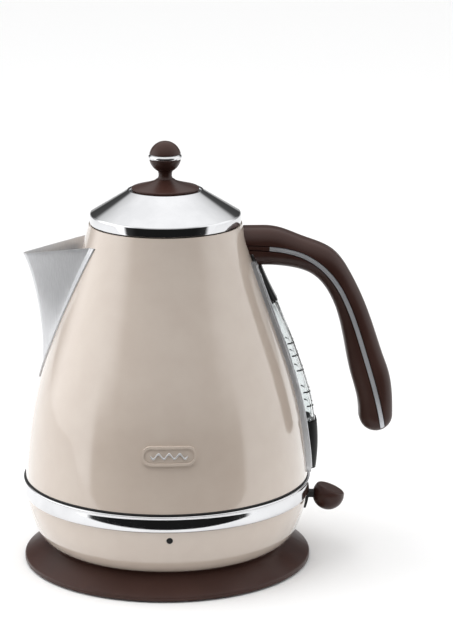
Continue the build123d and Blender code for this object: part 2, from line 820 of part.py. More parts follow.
def gauge_block(outer, half_width, rounding):
    """Bar along the gauge: a side outline through the outer points, with its long edges rounded."""
    with BuildPart(mode=Mode.PRIVATE) as block:
        with BuildSketch(Plane.XZ) as profile:
            with BuildLine():
                front = Spline(*outer)
                Polyline(front @ 1, (40, outer[-1][1]), (40, outer[0][1]), front @ 0)
            make_face()
        extrude(amount=half_width, both=True)
        long_edges = block.faces().sort_by(SortBy.AREA).filter_by(GeomType.EXTRUSION).edges()
        fillet([e for e in long_edges if abs(e.center().Y) > half_width - 0.01], rounding)
    return block.part


LENS_LINE = ((92.7, LENS_LOW), (91.6, 99.0), (85.6, 120.9), (77.4, 144.3), (68.6, LENS_TOP))
UPPER_CAP_LINE = ((69.0, LENS_TOP + 0.2), (65.0, 174.0), (58.9, GAUGE_TOP))
LOWER_CAP_LINE = ((93.4, GAUGE_LOW), (94.6, 72.0), (93.9, LENS_LOW - 0.2))

# The lens is hollow: the same bar, drawn in by the wall all round, is taken out of it.
end_shift = (LENS_WALL, 0, 0, 0, -LENS_WALL)
hollow_line = [(r - LENS_WALL, z + shift) for (r, z), shift in zip(LENS_LINE, end_shift)]
lens_block = gauge_block(LENS_LINE, GAUGE_HALF, 6.0)
lens_hollow = gauge_block(hollow_line, GAUGE_HALF - LENS_WALL, 4.0)
upper_cap_block = gauge_block(UPPER_CAP_LINE, GAUGE_HALF, 4.0)
lower_cap_block = gauge_block(LOWER_CAP_LINE, GAUGE_HALF, 5.0)

with BuildPart() as window_lens:
    add(lens_block)
    add(lens_hollow, mode=Mode.SUBTRACT)
    revolve(bell_inside(SEAL_THICK), axis=Axis.Z, mode=Mode.SUBTRACT)
save(window_lens.part, "window_lens")

with BuildPart() as window_upper_cap:
    add(upper_cap_block)
    revolve(bell_inside(SEAL_THICK), axis=Axis.Z, mode=Mode.SUBTRACT)
save(window_upper_cap.part, "window_upper_cap")

with BuildPart() as window_lower_cap:
    add(lower_cap_block)
    revolve(bell_inside(SEAL_THICK), axis=Axis.Z, mode=Mode.SUBTRACT)
save(window_lower_cap.part, "window_lower_cap")

# ---- jug: handle --------------------------------------------------------------------------------

HANDLE_ROUNDING = 8.5


def middle_band(half_thick):
    """Side outline of the band that follows the handle's middle line."""
    with BuildSketch(Plane.XZ) as band:
        with BuildLine():
            Spline(*HANDLE_MID)
        trace(line_width=2 * half_thick)
    return band.sketch


# The whole grip, before it is parted along its middle line
with BuildPart() as grip:
    with BuildSketch(Plane.XZ):
        with BuildLine():
            root_top = Line((30, 211.6), HANDLE_OUTER[0])
            outer_line = Spline(*HANDLE_OUTER, tangents=[(1, 0), (0, -1)])
            inner_line = Spline(*HANDLE_INNER, tangents=[(0, 1), (-1, 0)])
            TangentArc(outer_line @ 1, inner_line @ 0, tangent=(0, -1))
            Polyline(inner_line @ 1, (30, 188.4), root_top @ 0)
        make_face()
    extrude(amount=HANDLE_HALF, both=True)
    outline_edges = grip.faces().filter_by(Axis.Y).edges()
    fillet(outline_edges.filter_by(lambda e: e.center().X > 31), HANDLE_ROUNDING)
    revolve(bell_inside(0), axis=Axis.Z, mode=Mode.SUBTRACT)
    add(window_frame.part, mode=Mode.SUBTRACT)
    add(window_upper_cap.part, mode=Mode.SUBTRACT)

# Everything on the outer side of the middle line
with BuildPart() as outer_side:
    with BuildSketch(Plane.XZ):
        with BuildLine():
            middle = Spline(*HANDLE_MID)
            Polyline(middle @ 1, (170, 72), (170, 240), (40, 240), middle @ 0)
        make_face()
    extrude(amount=HANDLE_HALF + 1, both=True)

# Grooves for the strips, one on each side
with BuildPart() as strip_grooves:
    extrude(middle_band(STRIP_GROOVE / 2), amount=HANDLE_HALF + 1, both=True)
    extrude(middle_band(STRIP_GROOVE), amount=HANDLE_HALF - STRIP_DEPTH, both=True, mode=Mode.SUBTRACT)

HANDLE_SCREW_SPOTS = ((64.0, 0), (73.0, 0))
BRACKET_LOW = 201.6
BRACKET_TOP = 205.0
BRACKET_HALF = 5.0
with BuildPart() as handle_bracket:
    revolve(bell_band(0, 1.4), axis=Axis.Z)
    extrude(slot_outline(7.0, 197.6, 209.4, 2.0), amount=100, mode=Mode.INTERSECT)
    with BuildSketch(Plane.XY.offset(BRACKET_LOW)):
        with Locations((63.0, 0)):
            Rectangle(28, 2 * BRACKET_HALF)
        with Locations(*HANDLE_SCREW_SPOTS):
            Circle(1.2, mode=Mode.SUBTRACT)
    extrude(amount=BRACKET_TOP - BRACKET_LOW)
    revolve(bell_inside(0), axis=Axis.Z, mode=Mode.SUBTRACT)
save(handle_bracket.part, "handle_bracket")

with BuildPart() as handle_screws:
    with BuildSketch(Plane.XY.offset(190.6)):
        with Locations(*HANDLE_SCREW_SPOTS):
            Circle(2.6)
    extrude(amount=1.6)
    with BuildSketch(Plane.XY.offset(192.2)):
        with Locations(*HANDLE_SCREW_SPOTS):
            Circle(1.2)
    extrude(amount=12.0)
save(handle_screws.part, "handle_screws")

# Room inside the grip for the bracket and the screws
with BuildPart() as grip_pocket:
    revolve(bell_band(0, 1.5), axis=Axis.Z)
    extrude(slot_outline(7.1, 197.5, 209.5, 2.0), amount=100, mode=Mode.INTERSECT)
    with BuildSketch(Plane.XY.offset(BRACKET_LOW - 0.1)):
        with Locations((63.0, 0)):
            Rectangle(28.4, 2 * BRACKET_HALF + 0.2)
    extrude(amount=BRACKET_TOP - BRACKET_LOW + 0.2)
    with BuildSketch(Plane.XY.offset(192.0)):
        with Locations(*HANDLE_SCREW_SPOTS):
            Circle(1.3)
    extrude(amount=13.0)
    with BuildSketch(Plane.XY.offset(180.0)):
        with Locations(*HANDLE_SCREW_SPOTS):
            Circle(2.8)
    extrude(amount=12.2)

with BuildPart() as handle_outer_shell:
    add(grip.part)
    add(outer_side.part, mode=Mode.INTERSECT)
    add(strip_grooves.part, mode=Mode.SUBTRACT)
    add(grip_pocket.part, mode=Mode.SUBTRACT)
save(handle_outer_shell.part, "handle_outer_shell")

with BuildPart() as handle_inner_shell:
    add(grip.part)
    add(outer_side.part, mode=Mode.SUBTRACT)
    add(strip_grooves.part, mode=Mode.SUBTRACT)
    add(grip_pocket.part, mode=Mode.SUBTRACT)
save(handle_inner_shell.part, "handle_inner_shell")

for side, name in ((-1, "handle_strip_left"), (1, "handle_strip_right")):
    with BuildPart() as handle_strip:
        with BuildSketch(Plane.XZ.offset(-side * (HANDLE_HALF - STRIP_DEPTH))):
            with BuildLine():
                Spline(*HANDLE_MID)
            trace(line_width=STRIP_WIDTH)
        extrude(amount=-side * (STRIP_DEPTH - STRIP_SINK))
        add(grip.part, mode=Mode.INTERSECT)
    save(handle_strip.part, name)

# ---- lid ------------------------------------------------------------------------------------------

with BuildPart() as lid_cone:
    with BuildSketch(Plane.XZ) as cone_section:
        with BuildLine():
            Polyline(
                (LID_BAND_R, LID_LOW),
                (LID_BAND_R, LID_BAND_TOP + 0.9),
                (LID_CONE_TOP_R, LID_CONE_TOP_Z),
                (LID_CONE_TOP_R - 0.8, LID_CONE_TOP_Z - 2.0),
                (9.0, LID_CONE_TOP_Z - 2.0),
                (9.0, LID_CONE_TOP_Z - 2.0 - LID_SHEET),
                (LID_CONE_TOP_R, LID_CONE_TOP_Z - 2.0 - LID_SHEET),
                (LID_BAND_R - LID_SHEET, LID_BAND_TOP),
                (LID_BAND_R - LID_SHEET, LID_LOW),
                close=True,
            )
        make_face()
        shoulder = cone_section.vertices().sort_by_distance((LID_BAND_R, LID_BAND_TOP + 0.9))
        fillet(shoulder[0], 2.6)
    revolve(axis=Axis.Z)
save(lid_cone.part, "lid_cone")

with BuildPart() as lid_inner_plug:
    with BuildSketch(Plane.XZ):
        with BuildLine():
            Polyline(
                (0.0, PLUG_LOW),
                (PLUG_R - 3.0, PLUG_LOW),
                (PLUG_R, PLUG_LOW + 3.0),
                (PLUG_R, LID_LOW + 0.6),
                (LID_BAND_R - LID_SHEET - 0.1, LID_LOW + 0.6),
                (LID_BAND_R - LID_SHEET - 0.1, LID_LOW + 2.4),
                (12.0, LID_LOW + 2.4),
                (12.0, LID_CONE_TOP_Z - 2.0 - LID_SHEET),
                (3.0, LID_CONE_TOP_Z - 2.0 - LID_SHEET),
                (3.0, PLUG_LOW + 5.0),
                (1.7, PLUG_LOW + 5.0),
                (1.7, PLUG_LOW + 2.0),
                (0.0, PLUG_LOW + 2.0),
                close=True,
            )
        make_face()
    revolve(axis=Axis.Z)
    # Groove for the seal
    with BuildSketch(Plane.XZ):
        with Locations((PLUG_R, PLUG_LOW + 6.0)):
            Rectangle(3.0, 2.4)
    revolve(axis=Axis.Z, mode=Mode.SUBTRACT)
save(lid_inner_plug.part, "lid_inner_plug")

with BuildPart() as lid_seal:
    with BuildSketch(Plane.XZ):
        with Locations((PLUG_R - 0.2, PLUG_LOW + 6.0)):
            RectangleRounded(2.6, 2.4, 1.0)
    revolve(axis=Axis.Z)
save(lid_seal.part, "lid_seal")

with BuildPart() as lid_cap_disc:
    with BuildSketch(Plane.XZ) as cap_section:
        with BuildLine():
            Polyline(
                (9.0, LID_CONE_TOP_Z - 2.0),
                (CAP_R - 0.8, LID_CONE_TOP_Z - 2.0),
                (CAP_R, CAP_Z - 1.0),
                (CAP_R, CAP_Z),
                (7.0, 240.6),
                (STEM_R + 1.6, 241.8),
                (3.0, 241.8),
                (3.0, LID_CONE_TOP_Z - 2.0),
                close=True,
            )
        make_face()
        cap_edge = cap_section.vertices().sort_by_distance((CAP_R, CAP_Z))
        fillet(cap_edge[0], 0.8)
    revolve(axis=Axis.Z)
save(lid_cap_disc.part, "lid_cap_disc")

with BuildPart() as knob_lower_half:
    with BuildSketch(Plane.XZ):
        with BuildLine():
            neck = Polyline((3.0, 241.8), (STEM_R + 1.0, 241.8), (STEM_R, 243.4), (STEM_R, 245.2))
            swell = ThreePointArc(
                neck @ 1,
                (BALL_R * sin(radians(62)), BALL_Z - BALL_R * cos(radians(62))),
                (sqrt(BALL_R**2 - (BALL_BAND / 2) ** 2), BALL_Z - BALL_BAND / 2),
            )
            Polyline(swell @ 1, (1.5, BALL_Z - BALL_BAND / 2), (1.5, 243.0), (3.0, 243.0), (3.0, 241.8))
        make_face()
    revolve(axis=Axis.Z)
save(knob_lower_half.part, "knob_lower_half")

with BuildPart() as knob_ring:
    with BuildSketch(Plane.XZ) as ring_section:
        with BuildLine():
            low = BALL_Z - BALL_BAND / 2
            high = BALL_Z + BALL_BAND / 2
            Polyline((1.5, low), (BALL_R, low))
            ThreePointArc((BALL_R, low), (BALL_R + 0.5, BALL_Z), (BALL_R, high))
            Polyline((BALL_R, high), (1.5, high), (1.5, low))
        make_face()
    revolve(axis=Axis.Z)
save(knob_ring.part, "knob_ring")

with BuildPart() as knob_upper_half:
    with BuildSketch(Plane.XZ):
        with BuildLine():
            equator = (sqrt(BALL_R**2 - (BALL_BAND / 2) ** 2), BALL_Z + BALL_BAND / 2)
            ThreePointArc(
                equator,
                (BALL_R * sin(radians(40)), BALL_Z + BALL_R * cos(radians(40))),
                (0, BALL_Z + BALL_R),
            )
            Polyline(
                (0, BALL_Z + BALL_R),
                (0, BALL_Z + 5.0),
                (1.5, BALL_Z + 5.0),
                (1.5, BALL_Z + BALL_BAND / 2),
                equator,
            )
        make_face()
    revolve(axis=Axis.Z)
save(knob_upper_half.part, "knob_upper_half")

# One long screw holds the knob, the cap disc, the cone and the plug together.
with BuildPart() as knob_screw:
    with BuildSketch(Plane.XZ):
        with BuildLine():
            Polyline(
                (0, PLUG_LOW + 3.0),
                (1.5, PLUG_LOW + 3.0),
                (1.5, BALL_Z + 4.8),
                (0, BALL_Z + 4.8),
                close=True,
            )
        make_face()
    revolve(axis=Axis.Z)
    with BuildSketch(Plane.XY.offset(PLUG_LOW + 5.0)):
        Circle(2.9)
    extrude(amount=2.0)
save(knob_screw.part, "knob_screw")

# ---- switch lever -------------------------------------------------------------------------------------

with BuildPart() as lever_arm:
    with BuildSketch(Plane.XZ):
        with BuildLine():
            Polyline(
                (71.5, PIVOT_Z - ARM_THICK / 2),
                (97.0, PIVOT_Z - ARM_THICK / 2),
                (97.0, PIVOT_Z + ARM_THICK / 2 - 0.4),
                (71.5, PIVOT_Z + ARM_THICK / 2),
                close=True,
            )
        make_face()
        with Locations((PIVOT_X, PIVOT_Z)):
            Circle(3.2)
            Circle(PIN_R + FIT, mode=Mode.SUBTRACT)
    extrude(amount=ARM_HALF_WIDTH, both=True)
save(lever_arm.part, "lever_arm")

KNOB_TILT = 22.0
with BuildPart() as lever_knob:
    with Locations((KNOB_X, 0, KNOB_Z)):
        Sphere(KNOB_R)
    # Flat top that falls away outwards
    up = (sin(radians(KNOB_TILT)), 0, cos(radians(KNOB_TILT)))
    with BuildSketch(Plane((KNOB_X - 6.0, 0, KNOB_Z + 7.4), x_dir=(0, 1, 0), z_dir=up)):
        Rectangle(60, 60)
    extrude(amount=30, mode=Mode.SUBTRACT)
    fillet(lever_knob.edges(), 1.6)
    add(lever_arm.part, mode=Mode.SUBTRACT)
save(lever_knob.part, "lever_knob")
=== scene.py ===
import bpy
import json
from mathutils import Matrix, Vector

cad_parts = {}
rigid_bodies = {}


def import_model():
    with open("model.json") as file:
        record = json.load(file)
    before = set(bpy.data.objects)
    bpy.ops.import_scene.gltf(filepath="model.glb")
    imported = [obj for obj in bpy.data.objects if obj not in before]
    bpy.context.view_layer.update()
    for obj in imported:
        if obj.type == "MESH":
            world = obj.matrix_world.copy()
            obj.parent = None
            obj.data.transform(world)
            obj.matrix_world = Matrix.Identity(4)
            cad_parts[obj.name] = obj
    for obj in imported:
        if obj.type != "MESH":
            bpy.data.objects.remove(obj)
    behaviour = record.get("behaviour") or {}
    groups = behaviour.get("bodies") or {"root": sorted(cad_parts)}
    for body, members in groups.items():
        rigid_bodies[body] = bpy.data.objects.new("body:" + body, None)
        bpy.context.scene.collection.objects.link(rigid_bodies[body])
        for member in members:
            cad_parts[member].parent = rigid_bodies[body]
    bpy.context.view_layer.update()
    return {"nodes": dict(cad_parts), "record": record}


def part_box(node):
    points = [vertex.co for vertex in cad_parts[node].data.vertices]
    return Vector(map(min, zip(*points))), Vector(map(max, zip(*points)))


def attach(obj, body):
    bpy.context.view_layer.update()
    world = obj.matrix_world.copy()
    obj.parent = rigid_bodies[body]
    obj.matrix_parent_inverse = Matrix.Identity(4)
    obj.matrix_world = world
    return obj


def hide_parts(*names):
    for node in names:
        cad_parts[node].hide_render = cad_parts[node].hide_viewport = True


for leftover in list(bpy.data.objects):
    bpy.data.objects.remove(leftover)
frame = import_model()

import json
import math

from mathutils import Vector

MM = 0.001
nodes = frame["nodes"]

# Places and lines that no node's box gives, in mm. Lines are (radius or x, height).
FRAME_TOP = 192.0          # where the gauge's visible frame ends
FRAME_PROUD = 2.4          # how far the frame stands out from the bell
BEAD_ASIDE = 2.6           # from the frame's edge to the middle of its bead
BEAD_R = 0.8
STRIP_START = 63.5         # x at which the grip's silver strips begin
MARK_HEIGHTS = (98.5, 107.5, 121.5, 131.0, 139.0)
MARK_HALF = 0.45
MARK_THICK = 0.12
MARK_REACH = 4.4           # how far back from the lens's front a mark goes
MARK_GAP_HALF = 3.6        # the middle of the lens stays clear
LENS_SIDE_WALL = 1.9
LENS_FRONT_WALL = 1.2
LENS_FRONT = ((92.7, 88.8), (91.6, 99.0), (85.6, 120.9), (77.4, 144.3), (68.6, 166.0))
BELL_LINE = ((88.6, 55.6), (87.2, 74.0), (82.0, 105.0), (68.2, 150.0), (57.8, 180.0), (49.9, 205.0))
BADGE_FIELD_Y = -85.75
RING_BORE = 85.7
WIRE_PITCH = 0.45          # of the filter gauze
WAVES_PER_UNIT = 20        # how many bands the wave texture draws in one unit


# ---- shader maths -----------------------------------------------------------------------

class Wire:
    """A value in a node tree; arithmetic on it adds Math nodes."""

    def __init__(self, owner, socket):
        self.owner, self.socket = owner, socket

    def math(self, operation, *values):
        """Adds one Math node for an operation that has no sign of its own."""
        return self.owner.add("Math", {"operation": operation}, dict(enumerate(values)))

    def __add__(self, other):
        return self.math("ADD", self, other)

    def __sub__(self, other):
        return self.math("SUBTRACT", self, other)

    def __rsub__(self, other):
        return self.math("SUBTRACT", other, self)

    def __mul__(self, other):
        return self.math("MULTIPLY", self, other)

    def __truediv__(self, other):
        return self.math("DIVIDE", self, other)

    __radd__ = __add__
    __rmul__ = __mul__

    def out(self, name):
        """Another output of the node that this value comes from."""
        return Wire(self.owner, self.socket.node.outputs[name])


class Nodes:
    """A node tree that expressions add their nodes to."""

    def __init__(self, tree):
        self.tree = tree

    def add(self, kind, settings=None, sockets=None):
        """Adds a node: its settings first, then the values or wires of its sockets."""
        node = self.tree.nodes.new("ShaderNode" + kind)
        for key, value in (settings or {}).items():
            setattr(node, key, value)
        for key, value in (sockets or {}).items():
            if isinstance(value, Wire):
                self.tree.links.new(value.socket, node.inputs[key])
            else:
                node.inputs[key].default_value = value
        return Wire(self, next((s for s in node.outputs if s.enabled), None) or node.outputs[0])

    def ramp(self, value, low, high, from_value=0.0, to_value=1.0, style="LINEAR"):
        """Carries value's span from low..high onto from_value..to_value, clamped."""
        sockets = {"Value": value, "From Min": low, "From Max": high}
        sockets.update({"To Min": from_value, "To Max": to_value})
        return self.add("MapRange", {"clamp": True, "interpolation_type": style}, sockets)

    def mix(self, share, first, second):
        """Colour between first and second."""
        sockets = {0: share, 6: first, 7: second}
        return self.add("Mix", {"data_type": "RGBA"}, sockets).out(2)


class Finish(Nodes):
    """One procedural material, built on a Principled shader."""

    def __init__(self, name, **constants):
        self.material = bpy.data.materials.new(name)
        self.material.use_nodes = True
        super().__init__(self.material.node_tree)
        self.shader = self.tree.nodes["Principled BSDF"]
        for socket, value in constants.items():
            self.shader.inputs[socket.replace("_", " ")].default_value = value
        self.place = self.add("TexCoord").out("Object")

    def stretched(self, x=1.0, y=1.0, z=1.0):
        """Object coordinates with each direction scaled, for a grain that runs one way."""
        return self.add("Mapping", sockets={"Vector": self.place, "Scale": (x, y, z)})

    def grain(self, size, detail=3.0, place=None):
        """Soft noise whose features are about size metres across."""
        sockets = {"Vector": place or self.place, "Scale": 1.0 / size, "Detail": detail}
        return self.add("TexNoise", sockets=sockets)

    def set(self, **wires):
        """Wires values into the shader's sockets, named with _ for a space."""
        for socket, wire in wires.items():
            target = self.shader.inputs[socket.replace("_", " ")]
            self.tree.links.new(wire.socket, target)

    def bump(self, height, strength, distance):
        """Lets a height in 0..1 tilt the surface's normal."""
        sockets = {"Height": height, "Strength": strength, "Distance": distance}
        self.set(Normal=self.add("Bump", sockets=sockets))


def rgb(red, green, blue):
    """Linear colour from display values of 0 to 255."""
    channels = []
    for shown in (red, green, blue):
        share = shown / 255
        channels.append(share / 12.92 if share <= 0.04045 else ((share + 0.055) / 1.055) ** 2.4)
    return (*channels, 1.0)


# ---- finishes -----------------------------------------------------------------------------

def cream_enamel():
    """Baked enamel: glossy, with the faint ripple and fine specks that a fired coat has."""
    finish = Finish("cream_enamel", Coat_Weight=1.0, Coat_Roughness=0.03, Coat_IOR=1.6, IOR=1.55)
    ripple = finish.grain(14 * MM, 2.0)
    speck = finish.grain(0.7 * MM, 2.0)
    tone = finish.ramp(ripple, 0.3, 0.7)
    base = finish.mix(tone, rgb(205, 190, 177), rgb(209, 195, 182))
    dots = finish.ramp(speck, 0.66, 0.74)
    finish.set(Base_Color=finish.mix(dots * 0.12, base, rgb(176, 160, 146)))
    finish.set(Roughness=finish.ramp(finish.grain(30 * MM), 0.3, 0.7, 0.13, 0.2))
    finish.bump(ripple + finish.grain(2.2 * MM) * 0.12, 0.05, 0.6 * MM)
    return finish.material


def polished_chrome():
    """Plated and polished, with faint smears and hairlines."""
    finish = Finish("polished_chrome", Metallic=1.0)
    smear = finish.grain(18 * MM, 4.0)
    hair = finish.grain(1.0 * MM, 2.0, finish.stretched(1.0, 1.0, 14.0))
    tone = finish.ramp(smear, 0.35, 0.65)
    finish.set(Base_Color=finish.mix(tone, (0.70, 0.705, 0.72, 1), (0.77, 0.775, 0.79, 1)))
    finish.set(Roughness=finish.ramp(smear, 0.3, 0.75, 0.03, 0.09) + finish.ramp(hair, 0.6, 0.8, 0.0, 0.03))
    finish.bump(hair, 0.02, 0.1 * MM)
    return finish.material


def brushed_steel(name, along, tint):
    """Brushed sheet: hairlines up and down, longer the smaller along is."""
    finish = Finish(name, Metallic=0.8)
    line = finish.grain(0.5 * MM, 3.0, finish.stretched(1.0, 1.0, along))
    broad = finish.grain(9 * MM, 3.0)
    bright = (*[c * 1.12 for c in tint[:3]], 1)
    finish.set(Base_Color=finish.mix(finish.ramp(line, 0.3, 0.7), tint, bright))
    patches = finish.ramp(broad, 0.3, 0.7, -0.02, 0.04)
    finish.set(Roughness=finish.ramp(line, 0.25, 0.75, 0.34, 0.46) + patches)
    finish.bump(line, 0.06, 0.05 * MM)
    return finish.material


def moulded(name, dark, light, roughness):
    """Moulded plastic: fine spark-eroded grain, slightly uneven sheen and a hint of tone change."""
    finish = Finish(name, IOR=1.44, Specular_IOR_Level=0.34)
    grain = finish.grain(0.35 * MM, 4.0)
    broad = finish.grain(22 * MM, 3.0)
    tone = finish.ramp(broad, 0.3, 0.7) * 0.6 + finish.ramp(grain, 0.35, 0.65) * 0.4
    finish.set(Base_Color=finish.mix(tone, dark, light))
    finish.set(Roughness=finish.ramp(broad, 0.3, 0.7, roughness - 0.04, roughness + 0.05))
    finish.bump(grain, 0.12, 0.06 * MM)
    return finish.material


def soft_rubber():
    """Matt rubber with a little dust on it."""
    finish = Finish("soft_rubber", IOR=1.5)
    dust = finish.grain(1.6 * MM, 5.0)
    finish.set(Base_Color=finish.mix(finish.ramp(dust, 0.4, 0.7), rgb(24, 24, 24), rgb(42, 41, 40)))
    finish.set(Roughness=finish.ramp(dust, 0.3, 0.7, 0.62, 0.82))
    finish.bump(dust, 0.2, 0.08 * MM)
    return finish.material


def clear_window():
    """Clear moulded gauge: see-through, with faint flow marks."""
    finish = Finish("clear_window", Transmission_Weight=1.0, IOR=1.49, Coat_Weight=0.3)
    flow = finish.grain(5 * MM, 2.0, finish.stretched(1.0, 1.0, 0.25))
    tone = finish.ramp(flow, 0.3, 0.7)
    finish.set(Base_Color=finish.mix(tone, (0.86, 0.90, 0.90, 1), (0.94, 0.96, 0.96, 1)))
    finish.set(Roughness=finish.ramp(flow, 0.3, 0.7, 0.03, 0.09))
    finish.bump(flow, 0.05, 0.2 * MM)
    return finish.material


def contact_brass():
    """Brass contacts, tarnished in patches."""
    finish = Finish("contact_brass", Metallic=1.0)
    tarnish = finish.grain(1.8 * MM, 5.0)
    tone = finish.ramp(tarnish, 0.4, 0.7)
    finish.set(Base_Color=finish.mix(tone, (0.72, 0.50, 0.22, 1), (0.42, 0.27, 0.12, 1)))
    finish.set(Roughness=finish.ramp(tarnish, 0.3, 0.7, 0.22, 0.42))
    finish.bump(tarnish, 0.05, 0.05 * MM)
    return finish.material


def satin_silver():
    """Silver lacquer on a moulded strip: pale, satin and finely flecked."""
    finish = Finish("satin_silver", Metallic=0.55, IOR=1.5)
    fleck = finish.grain(0.3 * MM, 2.0)
    broad = finish.grain(15 * MM, 2.0)
    tone = finish.ramp(fleck, 0.35, 0.65)
    finish.set(Base_Color=finish.mix(tone, rgb(196, 198, 203), rgb(216, 218, 222)))
    finish.set(Roughness=finish.ramp(broad, 0.3, 0.7, 0.32, 0.42))
    finish.bump(fleck, 0.05, 0.05 * MM)
    return finish.material


def woven_steel():
    """Filter gauze: fine wires that cross at right angles, with painted shade in the gaps between them."""
    finish = Finish("woven_steel", Metallic=0.9)
    wires = []
    for direction in ("Y", "Z"):
        settings = {"wave_type": "BANDS", "bands_direction": direction, "wave_profile": "SIN"}
        sockets = {"Vector": finish.place, "Scale": 1.0 / (WAVES_PER_UNIT * WIRE_PITCH * MM)}
        wires.append(finish.add("TexWave", settings, sockets).out("Fac"))
    wires_over_gap_shade = wires[0].math("MAXIMUM", wires[0], wires[1])
    tone = finish.ramp(wires_over_gap_shade, 0.55, 0.9)
    # The near-black in the gaps between the wires is painted shade of the dark inside seen through them.
    finish.set(Base_Color=finish.mix(tone, (0.03, 0.03, 0.03, 1), (0.55, 0.55, 0.56, 1)))
    finish.set(Roughness=finish.ramp(wires_over_gap_shade, 0.5, 1.0, 0.7, 0.3))
    finish.bump(wires_over_gap_shade, 0.4, 0.15 * MM)
    return finish.material


FINISHES = {
    "enamel": cream_enamel(),
    "chrome": polished_chrome(),
    "brushed_steel": brushed_steel("brushed_steel", 0.03, (0.66, 0.665, 0.68, 1)),
    "inner_steel": brushed_steel("inner_steel", 0.2, (0.50, 0.50, 0.50, 1)),
    "brown_plastic": moulded("brown_plastic", rgb(54, 33, 28), rgb(65, 42, 36), 0.33),
    "black_plastic": moulded("black_plastic", rgb(20, 20, 20), rgb(30, 30, 30), 0.30),
    "grey_plastic": moulded("grey_plastic", rgb(96, 98, 96), rgb(112, 114, 112), 0.36),
    "rubber": soft_rubber(),
    "clear_window": clear_window(),
    "contact_brass": contact_brass(),
}
for part in frame["record"]["subparts"]:
    for material_slot in nodes[part["node"]].material_slots:
        material_slot.material = FINISHES[part["material_slot"]]
gauze = woven_steel()
for material_slot in nodes["filter_mesh"].material_slots:
    material_slot.material = gauze
STRIP_FINISH = satin_silver()


# ---- shaping new pieces ---------------------------------------------------------------------

def arc(centre_r, centre_z, radius, start, end, steps):
    """Points of an arc in a turned outline, angles in degrees from outwards towards up."""
    turns = [math.radians(start + (end - start) * i / steps) for i in range(steps + 1)]
    return [(centre_r + radius * math.cos(t), centre_z + radius * math.sin(t)) for t in turns]


def begin(radius, height, sides):
    """A ring of edges at a height, left in edit mode with all of it selected."""
    bpy.ops.object.select_all(action="DESELECT")
    place = (0, 0, height * MM)
    bpy.ops.mesh.primitive_circle_add(vertices=sides, radius=radius * MM, location=place)
    bpy.ops.object.transform_apply(location=True, rotation=False, scale=False)
    bpy.ops.object.mode_set(mode="EDIT")
    bpy.ops.mesh.select_mode(type="VERT")
    bpy.ops.mesh.select_all(action="SELECT")
    return bpy.context.object


def blend(a, b, c, d, t):
    """Value at t of the way from b to c on an even Catmull-Rom curve."""
    square, cube = 2 * a - 5 * b + 4 * c - d, 3 * b - a - 3 * c + d
    return 0.5 * (2 * b + (c - a) * t + square * t ** 2 + cube * t ** 3)


def through(points, per_span):
    """Smooth line through points."""
    line = []
    ends = [points[0], *points, points[-1]]
    for four in zip(ends, ends[1:], ends[2:], ends[3:]):
        for i in range(per_span):
            line.append(tuple(blend(*values, i / per_span) for values in zip(*four)))
    return line + [points[-1]]


def rise(across, up):
    """Extrudes what is selected by mm along X and Z."""
    bpy.ops.mesh.extrude_region_move(TRANSFORM_OT_translate={"value": (across * MM, 0, up * MM)})


def turn_about(angle, centre):
    """Turns what is selected about an axis along Y through centre, by the right-hand rule."""
    settings = {"orient_axis": "Y", "orient_type": "GLOBAL", "center_override": centre}
    bpy.ops.transform.rotate(value=-angle, **settings)


def close_ends():
    """Fills the open ends of the piece in edit mode and points its faces outwards."""
    bpy.ops.mesh.select_all(action="DESELECT")
    bpy.ops.mesh.select_non_manifold()
    bpy.ops.mesh.edge_face_add()
    bpy.ops.mesh.select_all(action="SELECT")
    bpy.ops.mesh.normals_make_consistent(inside=False)


def carried(line, radius, sides):
    """Bar of a round section carried along a line of (x, z) in mm in the kettle's middle plane."""
    runs = [math.atan2(b[0] - a[0], b[1] - a[1]) for a, b in zip(line, line[1:])]
    leans = [runs[0]] + [(a + b) / 2 for a, b in zip(runs, runs[1:])] + [runs[-1]]
    piece = begin(radius, 0.0, sides)
    turn_about(leans[0], (0, 0, 0))
    bpy.ops.transform.translate(value=(line[0][0] * MM, 0, line[0][1] * MM))
    for before, here, lean_before, lean in zip(line, line[1:], leans, leans[1:]):
        rise(here[0] - before[0], here[1] - before[1])
        turn_about(lean - lean_before, (here[0] * MM, 0, here[1] * MM))
    return piece


def turned(outline, sides, open_top=False):
    """Carries a ring along an outline of (radius, height) in mm and joins the last ring to the first.

    With open_top the outline ends on the axis, and the first ring is filled instead.
    """
    radius, height = outline[0]
    piece = begin(radius, height, sides)
    for next_radius, next_height in outline[1:]:
        rise(0, next_height - height)
        share = next_radius / radius
        bpy.ops.transform.resize(value=(share, share, 1), center_override=(0, 0, next_height * MM))
        radius, height = next_radius, next_height
    if open_top:
        bpy.ops.mesh.edge_face_add()
        close_ends()
    else:
        bpy.ops.mesh.select_all(action="DESELECT")
        bpy.ops.mesh.select_non_manifold()
        bpy.ops.mesh.bridge_edge_loops()
        bpy.ops.mesh.select_all(action="SELECT")
        bpy.ops.mesh.normals_make_consistent(inside=False)
    bpy.ops.object.mode_set(mode="OBJECT")
    return piece


def complete(piece, name, body, slot, replaced=(), bevel=0.0, smooth=32.0):
    """Bevels the hard edges, smooths, gives the finish and hands the piece to its body."""
    bpy.ops.object.select_all(action="DESELECT")
    piece.select_set(True)
    bpy.context.view_layer.objects.active = piece
    bpy.ops.object.transform_apply(location=True, rotation=True, scale=True)
    if bevel:
        modifier = piece.modifiers.new("edges", "BEVEL")
        modifier.width, modifier.segments = bevel * MM, 3
        modifier.limit_method, modifier.angle_limit = "ANGLE", math.radians(38)
        bpy.ops.object.modifier_apply(modifier=modifier.name)
    bpy.ops.object.shade_smooth_by_angle(angle=math.radians(smooth))
    piece.name = piece.data.name = name
    piece.data.materials.clear()
    piece.data.materials.append(FINISHES[slot])
    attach(piece, body)
    if replaced:
        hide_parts(*replaced)
    return piece


